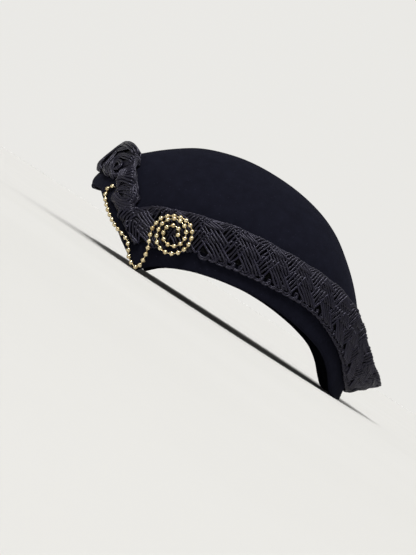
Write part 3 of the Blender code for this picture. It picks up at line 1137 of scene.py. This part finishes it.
@dataclass
class FrontBraid:
    """Bunched braid over the front, with a puffed roll and a drop at each side.

    Each band row holds the azimuth and height of its low edge, those of its top edge, and how
    far the braid stands out near the low edge, along the middle and at the roll.
    """

    gap: float = 0.4
    cord: CordMake = CordMake(0.74, 0.9, 7)
    dive_reach: float = 3.2
    core_lifts: tuple = (-1.5, -2.0)
    core_width: float = 30.0
    shares: tuple = (0.0, 0.10, 0.30, 0.52, 0.72, 0.86, 0.96, 1.0)
    band: tuple = (
        (0.0, 39.2, 0.0, 62.6, 3.2, 5.0, 7.0), (6.0, 39.0, 5.4, 62.6, 3.4, 5.4, 7.8),
        (12.5, 38.7, 11.0, 62.2, 3.6, 5.8, 8.2), (19.0, 38.5, 17.0, 61.6, 3.6, 5.8, 8.2),
        (25.0, 38.5, 22.5, 60.8, 3.6, 5.8, 8.2), (30.0, 38.8, 28.0, 59.6, 3.4, 5.2, 7.2),
        (33.8, 38.6, 33.2, 57.0, 3.2, 4.8, 6.2), (36.6, 36.6, 37.6, 51.8, 3.2, 4.6, 5.2),
        (37.4, 33.0, 41.8, 46.8, 3.0, 4.2, 4.6), (38.2, 29.9, 46.0, 42.0, 2.8, 3.8, 4.0),
        (39.6, 27.6, 49.4, 37.6, 2.6, 3.4, 3.4), (41.3, 27.2, 49.3, 33.8, 2.4, 3.2, 3.0),
        (43.2, 24.4, 51.0, 31.0, 2.2, 3.0, 2.8),
    )
    bundles: tuple = (
        # Base of the knot: cords that run from under the felt's lip up over the roll
        Bundle(5, -0.9, ((5.4, 0.02), (5.0, 0.3), (5.6, 0.6), (6.2, 0.97))),
        Bundle(5, -0.9, ((6.6, 0.03), (7.0, 0.35), (7.3, 0.65), (7.4, 0.97))),
        Bundle(4, -0.9, ((8.3, 0.03), (8.5, 0.4), (8.9, 0.7), (9.3, 0.97))),
        # Ribs at the right, which run to the rear edge
        Bundle(6, -0.2, ((6.5, 0.20), (6.75, 0.42), (7.0, 0.62), (7.3, 0.97))),
        Bundle(4, 0.0, ((8.7, 0.55), (8.9, 0.72), (9.3, 0.86), (9.6, 0.98))),
        Bundle(4, -0.1, ((9.2, 0.45), (9.8, 0.66), (10.3, 0.84), (10.7, 0.97))),
        # Waves at the low end of the drop
        Bundle(5, 0.1, ((8.45, 0.02), (9.6, 0.05), (10.8, 0.14), (11.5, 0.40), (11.7, 0.71), (11.8, 0.96))),
        Bundle(3, 0.3, ((8.6, 0.16), (9.6, 0.26), (10.4, 0.44), (10.5, 0.60), (9.6, 0.78), (8.4, 0.86))),
        Bundle(4, -0.3, ((9.6, 0.30), (10.6, 0.55), (11.2, 0.80), (11.5, 0.97))),
        # Fan and loop over the drop
        Bundle(5, 0.2, ((7.6, 0.03), (7.2, 0.22), (6.4, 0.36), (5.9, 0.52))),
        Bundle(3, 0.9, ((6.4, 0.03), (6.9, 0.19), (7.4, 0.44), (8.0, 0.69), (8.5, 0.92))),
        # The roll: arches over the front, each across the last
        Bundle(5, 0.0, ((0.3, 0.02), (0.9, 0.28), (1.2, 0.55), (0.8, 0.8), (0.2, 0.98))),
        Bundle(3, 0.5, ((4.6, 0.02), (3.5, 0.20), (3.2, 0.43), (2.8, 0.60), (3.7, 0.76), (4.7, 0.95))),
        Bundle(3, 0.7, ((5.6, 0.03), (4.5, 0.23), (4.1, 0.40), (4.3, 0.58), (5.2, 0.68), (6.0, 0.80))),
        Bundle(4, 1.1, ((2.6, 0.01), (1.7, 0.24), (1.7, 0.50), (1.9, 0.74), (3.4, 0.86), (5.2, 0.93))),
        Bundle(2, 1.3, ((4.5, 0.26), (4.6, 0.42), (5.1, 0.47), (5.5, 0.38), (5.3, 0.27), (4.9, 0.30))),
    )
    seed: int = 23

    def ground(self) -> Ground:
        """Work out the braid's puffed top over both sides of the front.

        The heights run smoothly from the low edge over the middle to the roll, and they
        stand along the crown's normal.

        Returns:
            The fine grid, whose rows run from -12 at the right drop to 12 at the left one.
        """
        left = np.array(self.band)
        right = left[:0:-1] * (-1.0, 1.0, -1.0, 1.0, 1.0, 1.0, 1.0)
        table = np.concatenate((right, left))
        last = len(left) - 1.0
        rows = np.linspace(-last, last, int(last) * 40 + 1)
        edges = through_rows(np.arange(-last, last + 1.0), table, rows)
        low_azimuth, low_height, top_azimuth, top_height = (edges[:, k, None] for k in range(4))
        low, mid, roll = (edges[:, k, None] for k in range(4, 7))
        heights = np.concatenate((0.5 * low, low, 0.5 * (low + mid), mid, 0.35 * mid + 0.65 * roll,
                                  roll, 0.72 * roll, 0.25 * roll), axis=1) + self.gap
        share = np.linspace(0.0, 1.0, 61)
        height = through_rows(np.array(self.shares), heights.T, share).T
        azimuth = low_azimuth + (top_azimuth - low_azimuth) * share
        elevation = CROWN.elevation_of(low_height + (top_height - low_height) * share)
        upright = CROWN.normal(azimuth, elevation)
        points = CROWN.point(azimuth, elevation) + height[..., None] * upright
        leaning = unit(np.cross(np.gradient(points, axis=0), np.gradient(points, axis=1)))
        return Ground(points, unit(upright + leaning), rows)

    def add_cord(self, parts: MeshParts, ground: Ground, course: np.ndarray, lift: np.ndarray,
                 rng: np.random.Generator, dive: float = 2.2) -> None:
        """Lay one cord on the puffed braid and let both its ends dive.

        Args:
            parts: Shapes of the braid.
            ground: The puffed braid.
            course: Millimetres along and across of evenly spaced points.
            lift: Heights of the cord's centre over the braid's top.
            rng: Seeded source of chance.
            dive: How deep the ends go.
        """
        run = run_along(course)
        course = course + wander(rng, run, 2, 0.2)
        row, share = ground.share_of(course)
        sunk = dive * (1.0 - from_ends(run, self.dive_reach))
        path, normals = ground.lay(row, share, lift - self.cord.radius - sunk)
        both = stepped(rounded(np.concatenate((path, normals), axis=1), 2.0), self.cord.step)
        self.cord.add(parts, both[:, :3], unit(both[:, 3:]), rng)

    def add_bundle(self, parts: MeshParts, ground: Ground, bundle: Bundle, side: Side,
                   rng: np.random.Generator) -> None:
        """Add a bundle: cords set off to both sides of one smooth course.

        Args:
            parts: Shapes of the braid.
            ground: The puffed braid.
            bundle: The bundle.
            side: Side of the wearer.
            rng: Seeded source of chance.
        """
        places = np.array(bundle.course) * (side.value, 1.0)
        bulge = 1.0 - np.linspace(-1.0, 1.0, bundle.cords) ** 2
        for course, crowned in zip(ground.side_by_side(places, bundle.cords, bundle.spacing), bulge):
            self.add_cord(parts, ground, course, np.full(len(course), bundle.lift + 0.35 * crowned), rng)

    def add_core(self, parts: MeshParts, ground: Ground) -> None:
        """Add the stuffing, painted near black as shade in the gaps of the cords: the puffed form a cord's
        depth down, closed at the felt.

        Args:
            parts: Shapes of the braid.
            ground: The puffed braid.
        """
        rows = np.linspace(ground.rows[0] + 0.15, ground.rows[-1] - 0.15, 200)
        shares = np.linspace(0.03, 0.96, 20)
        add_layer(parts, ground, rows, shares, self.core_lifts, self.core_width)

    def add_ribbons(self, parts: MeshParts, ground: Ground, pattern: FoldedRibbons,
                    rng: np.random.Generator) -> None:
        """Add the gathered braid under the bundles: the side braid's pattern, pressed together.

        Args:
            parts: Shapes of the braid.
            ground: The puffed braid.
            pattern: How the ribbons are folded.
            rng: Seeded source of chance.
        """
        for row, count in enumerate(pattern.counts):
            for number in range(count):
                course = pattern.cord(row, number, ground.run[-1])
                kept = (course[:, 0] > 1.5) & (course[:, 0] < ground.run[-1] - 1.5)
                width = np.interp(course[kept, 0], ground.run, ground.width)
                flat = np.stack((course[kept, 0], course[kept, 1] / pattern.nominal_width * width), axis=1)
                self.add_cord(parts, ground, flat, course[kept, 2] - pattern.high - 0.7, rng, dive=1.0)

    def build(self, cord: RayonCord, backing: LaidBacking, pattern: FoldedRibbons) -> bpy.types.Object:
        """Build the front braid and put it in the place of the CAD solid.

        Args:
            cord: Finish of the cords.
            backing: Finish of the core.
            pattern: How the ribbons under the bundles are folded.

        Returns:
            The piece.
        """
        rng = np.random.default_rng(self.seed)
        ground = self.ground()
        parts = MeshParts()
        self.add_core(parts, ground)
        self.add_ribbons(parts, ground, pattern, rng)
        for side in Side:
            for bundle in self.bundles:
                self.add_bundle(parts, ground, bundle, side, rng)
        piece = parts.to_piece("front_braid_cords", [cord.material(), backing.material()])
        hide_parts("front_braid")
        return piece


@dataclass
class BallChain:
    """Ball chain of one side, along the felt's edge to the temple point and up to its coil.

    Course rows hold the place along, the height and the share of the braid's height climbed.
    Coil rows hold an angle and a radius.
    """

    side: Side
    balls: int = 58
    ball_radius: float = 1.5
    ball_sides: int = 10
    ball_arc: tuple = (17.0, 24.0, 46.0, 74.0, 106.0, 134.0, 156.0, 163.0)
    wire_radius: float = 0.3
    wire_sides: int = 6
    lip_play: float = 0.08
    gap: float = 0.3
    braid_lift: float = 4.05
    course: tuple = (
        (-93.8, 35.9, 0.0), (-96.2, 35.0, 0.0), (-97.0, 32.4, 0.0), (-96.3, 29.4, 0.0), (-94.2, 26.2, 0.0),
        (-87.6, 20.6, 0.0), (-79.8, 16.2, 0.0), (-74.3, 14.6, 0.0), (-70.6, 13.6, 0.0), (-67.4, 11.8, 0.0),
        (-65.0, 9.0, 0.0), (-63.0, 6.0, 0.0), (-60.0, 3.4, 0.0), (-56.6, 2.0, 0.0), (-54.2, 2.6, 0.05),
        (-53.4, 6.4, 0.6), (-54.0, 12.0, 1.0), (-55.4, 17.0, 1.0), (-58.0, 22.6, 1.0), (-59.4, 28.0, 1.0),
    )
    coil_centre: tuple = (-46.5, 30.2)
    coil: tuple = (
        (160.0, 12.4), (120.0, 11.3), (60.0, 11.6), (0.0, 10.9), (-100.0, 11.0), (-165.0, 9.3),
        (-240.0, 9.7), (-300.0, 8.3), (-350.0, 7.2), (-420.0, 6.6), (-500.0, 6.0), (-580.0, 5.8),
        (-655.0, 4.4), (-720.0, 1.4),
    )

    def path(self) -> np.ndarray:
        """Work out the course of the chain's centres over the felt and the braid.

        Returns:
            Points a fifth of a millimetre apart.
        """
        table = np.array(self.course)
        places = np.arange(len(table), dtype=float)
        straight = through_rows(places, table, np.linspace(0.0, places[-1], 400))
        coil = np.array(self.coil)
        angles = np.linspace(coil[0, 0], coil[-1, 0], 900)
        radii = through_rows(-coil[:, 0], coil[:, 1], -angles)
        turned = np.stack((self.coil_centre[0] + radii * np.cos(np.radians(angles)),
                           self.coil_centre[1] + radii * np.sin(np.radians(angles)),
                           np.ones_like(angles)), axis=1)
        course = np.concatenate((straight, turned))
        lift = self.ball_radius + self.gap + course[:, 2] * self.braid_lift
        points = CROWN.over(course[:, 0], course[:, 1], lift)
        run = run_along(points)
        even = np.arange(0.0, run[-1], 0.2)
        points = np.stack([np.interp(even, run, points[:, k]) for k in range(3)], axis=1)
        return points * (self.side.value, 1.0, 1.0)

    def add_balls(self, parts: MeshParts, path: np.ndarray) -> None:
        """Add every ball: a circle's arc turned round the chain, with a small lip at each hole.

        Args:
            parts: Shapes of the chain.
            path: Course of the chain's centres.
        """
        run = run_along(path)
        pitch = run[-1] / self.balls
        places = pitch * (np.arange(self.balls) + 0.5)
        centres = np.stack([np.interp(places, run, path[:, k]) for k in range(3)], axis=1)
        ahead = np.stack([np.interp(places + 0.4, run, path[:, k]) for k in range(3)], axis=1)
        headings = unit(ahead - centres)
        tilt = np.radians(np.array(self.ball_arc))
        reach = self.ball_radius * np.sin(tilt)
        reach[[0, -1]] = self.wire_radius + self.lip_play
        depth = -self.ball_radius * np.cos(tilt)
        turns = np.linspace(0.0, FULL_TURN, self.ball_sides, endpoint=False)
        u, v = np.meshgrid(np.linspace(0.0, 1.0, len(turns) + 1), depth)
        for centre, heading in zip(centres, headings):
            side = unit(np.cross(heading, (0.9, 0.3, 0.2)))
            up = np.cross(side, heading)
            circle = np.cos(turns)[:, None] * up + np.sin(turns)[:, None] * side
            grid = centre + depth[:, None, None] * heading + reach[:, None, None] * circle
            parts.add_grid(grid, np.stack((u, v), axis=-1))

    def build(self, finish: bpy.types.Material) -> bpy.types.Object:
        """Build the chain and put it in the place of its CAD solid.

        Args:
            finish: The pale brass, shared by both chains.

        Returns:
            The piece.
        """
        parts = MeshParts()
        path = self.path()
        self.add_balls(parts, path)
        wire = stepped(path, 1.0)
        outward = np.broadcast_to((self.side.value, 0.0, 0.0), wire.shape)
        parts.add_tube(wire, outward, self.wire_radius, self.wire_sides)
        name = self.side.name.lower()
        piece = parts.to_piece(f"{name}_ball_chain", [finish])
        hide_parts(f"ball_chain_{name}")
        return piece


@dataclass(frozen=True)
class SoftLight:
    """A broad far light: where it comes from, how wide it looks and how strong it is."""

    name: str
    place: tuple
    width: float
    strength: float
    colour: str = "#ffffff"

    def build(self) -> None:
        """Make the light and turn it to the hat."""
        light = bpy.data.lights.new(self.name, "SUN")
        light.angle = np.radians(self.width)
        light.energy = self.strength
        light.color = linear(self.colour)[:3]
        lamp = bpy.data.objects.new(self.name, light)
        back = unit(np.array(self.place))
        right = unit(np.cross((0.0, 0.0, 1.0), back))
        turn = np.stack((right, np.cross(back, right), back), axis=1)
        lamp.matrix_world = Matrix.Translation(self.place) @ Matrix(turn.tolist()).to_4x4()
        bpy.context.scene.collection.objects.link(lamp)


@dataclass
class Studio:
    """Pale floor, soft light and the camera at the photo's angle. Lengths here are metres."""

    camera_place: tuple = (0.9, -0.0154, 0.02035)
    camera_roll: float = 33.0
    focal_length: float = 89.81
    floor_reach: float = 11.0
    air: str = "#f4f3f1"
    air_strength: float = 0.36
    backdrop: str = "#ecebe8"
    backdrop_reach: float = 12.0
    lights: tuple = (
        SoftLight("key_light", (0.65, -0.55, 1.2), 24.0, 2.6),
        SoftLight("top_light", (0.05, 0.35, 1.5), 50.0, 0.9),
    )

    def build_floor(self, finish: PaleFloor) -> None:
        """Build the floor: a grid that is flat under the hat and stretches far out.

        Args:
            finish: The pale board.
        """
        lines = np.linspace(-1.0, 1.0, 21)
        spread = self.floor_reach / MM * lines**3
        x, y = np.meshgrid(spread, spread)
        grid = np.stack((x, y, np.zeros_like(x)), axis=-1)
        parts = MeshParts()
        parts.add_grid(grid, grid[..., :2] * MM, closed=False, capped=False)
        mesh = bpy.data.meshes.new("floor")
        mesh.from_pydata((np.concatenate(parts.points) * MM).tolist(), [], parts.faces)
        mesh.materials.append(finish.material())
        floor = bpy.data.objects.new("floor", mesh)
        bpy.context.scene.collection.objects.link(floor)

    def build_backdrop(self) -> None:
        """Build the pale backdrop: a dome far out that glows evenly.

        A point at a bearing b and a height angle h is reach * (cos h cos b, cos h sin b, sin h).
        The dome is for the eye alone, so that the light on the hat comes from the lamps.
        """
        bearings = np.linspace(0.0, FULL_TURN, 49)
        bearing, rise = np.meshgrid(bearings, np.linspace(-0.5 * np.pi, 0.5 * np.pi, 25))
        grid = self.backdrop_reach * np.stack((np.cos(rise) * np.cos(bearing), np.cos(rise) * np.sin(bearing),
                                               np.sin(rise)), axis=-1)
        parts = MeshParts()
        parts.add_grid(grid, grid[..., :2], closed=False, capped=False)
        material, tree = new_material("pale_backdrop")
        place = add_node(tree, "TexCoord").outputs["Object"]
        cloud = noise(tree, place, 0.15, Detail=1.0)
        glow = mixed(tree, cloud, linear(self.backdrop), linear(PaleFloor().glow))
        light = add_node(tree, "Emission", {}, {"Color": glow, "Strength": 1.0})
        add_node(tree, "OutputMaterial", inputs={"Surface": light.outputs[0]})
        mesh = bpy.data.meshes.new("backdrop")
        mesh.from_pydata(np.concatenate(parts.points).tolist(), [], parts.faces)
        mesh.materials.append(material)
        dome = bpy.data.objects.new("backdrop", mesh)
        for sense in ("visible_diffuse", "visible_glossy", "visible_transmission", "visible_shadow"):
            setattr(dome, sense, False)
        bpy.context.scene.collection.objects.link(dome)

    def build_lights(self) -> None:
        """Build the soft lights and the pale air round the hat."""
        for light in self.lights:
            light.build()
        world = bpy.data.worlds.new("pale_air")
        world.use_nodes = True
        air = world.node_tree.nodes["Background"]
        air.inputs["Color"].default_value = linear(self.air)
        air.inputs["Strength"].default_value = self.air_strength
        bpy.context.scene.world = world
        bpy.context.scene.view_settings.view_transform = "Standard"

    def build_camera(self) -> None:
        """Build the camera, level with the hat's low part and rolled as the photo is."""
        lens = bpy.data.cameras.new("camera")
        lens.lens = self.focal_length
        lens.sensor_width = 36.0
        lens.clip_start = 0.05
        lens.clip_end = 100.0
        camera = bpy.data.objects.new("camera", lens)
        roll = np.radians(self.camera_roll)
        turn = Matrix(((0.0, 0.0, 1.0), (np.cos(roll), -np.sin(roll), 0.0),
                       (np.sin(roll), np.cos(roll), 0.0)))
        camera.matrix_world = Matrix.Translation(self.camera_place) @ turn.to_4x4()
        bpy.context.scene.collection.objects.link(camera)
        bpy.context.scene.camera = camera


def main() -> None:
    """Build the studio and every piece of the hat, and report each piece."""
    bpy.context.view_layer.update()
    studio = Studio()
    studio.build_camera()
    studio.build_floor(PaleFloor())
    studio.build_backdrop()
    studio.build_lights()
    cord, backing = RayonCord(), LaidBacking()
    brass = PaleBrass().material()
    pieces = [
        FeltCrown().build(WoolFelt()),
        FrontBraid().build(cord, backing, FoldedRibbons()),
        SideBraid().build(cord, backing, FoldedRibbons()),
        BallChain(Side.LEFT).build(brass),
        BallChain(Side.RIGHT).build(brass),
    ]
    for piece in pieces:
        triangles = sum(len(face.vertices) - 2 for face in piece.data.polygons)
        LOG.info("%s: %d triangles", piece.name, triangles)


if __name__ == "__main__":
    main()
